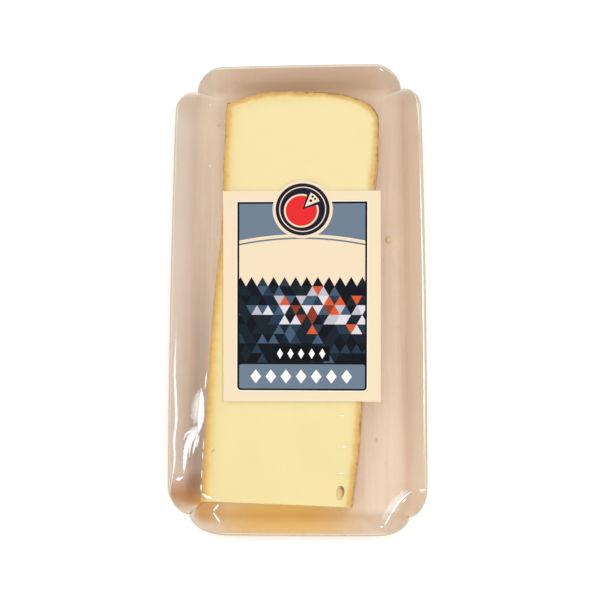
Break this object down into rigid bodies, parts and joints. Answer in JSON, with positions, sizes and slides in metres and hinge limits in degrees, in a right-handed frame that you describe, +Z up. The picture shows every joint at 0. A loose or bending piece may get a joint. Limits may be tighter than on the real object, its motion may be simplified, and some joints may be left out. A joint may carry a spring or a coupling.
{
  "type": "packed raclette slab",
  "caption": "Slab of raclette cheese with its rind, in a shallow kraft card tray under clear film with a paper label on top.",
  "frame": {"origin": "centre of the underside's bounding box, on the surface that the tray stands on", "axes": "+Z up, +Y along the tray towards the slab's round heel, +X across the tray, to the right as the label faces the viewer"},
  "size_m": [0.1044, 0.1946, 0.0251],
  "materials": {
    "kraft_card": "pale kraft board, lightly glossy from its laminate, with fine fibres and a bright cut edge",
    "cheese": "smooth pale yellow cut cheese, amber towards the rind, with a thin brown skin outside",
    "clear_film": "clear glossy packing film with fine tension wrinkles",
    "label_paper": "cream satin paper printed with plain fields of colour"
  },
  "bodies": {
    "root": {"tray": "kraft_card", "cheese": "cheese", "film": "clear_film", "label": "label_paper"}
  },
  "joints": []
}
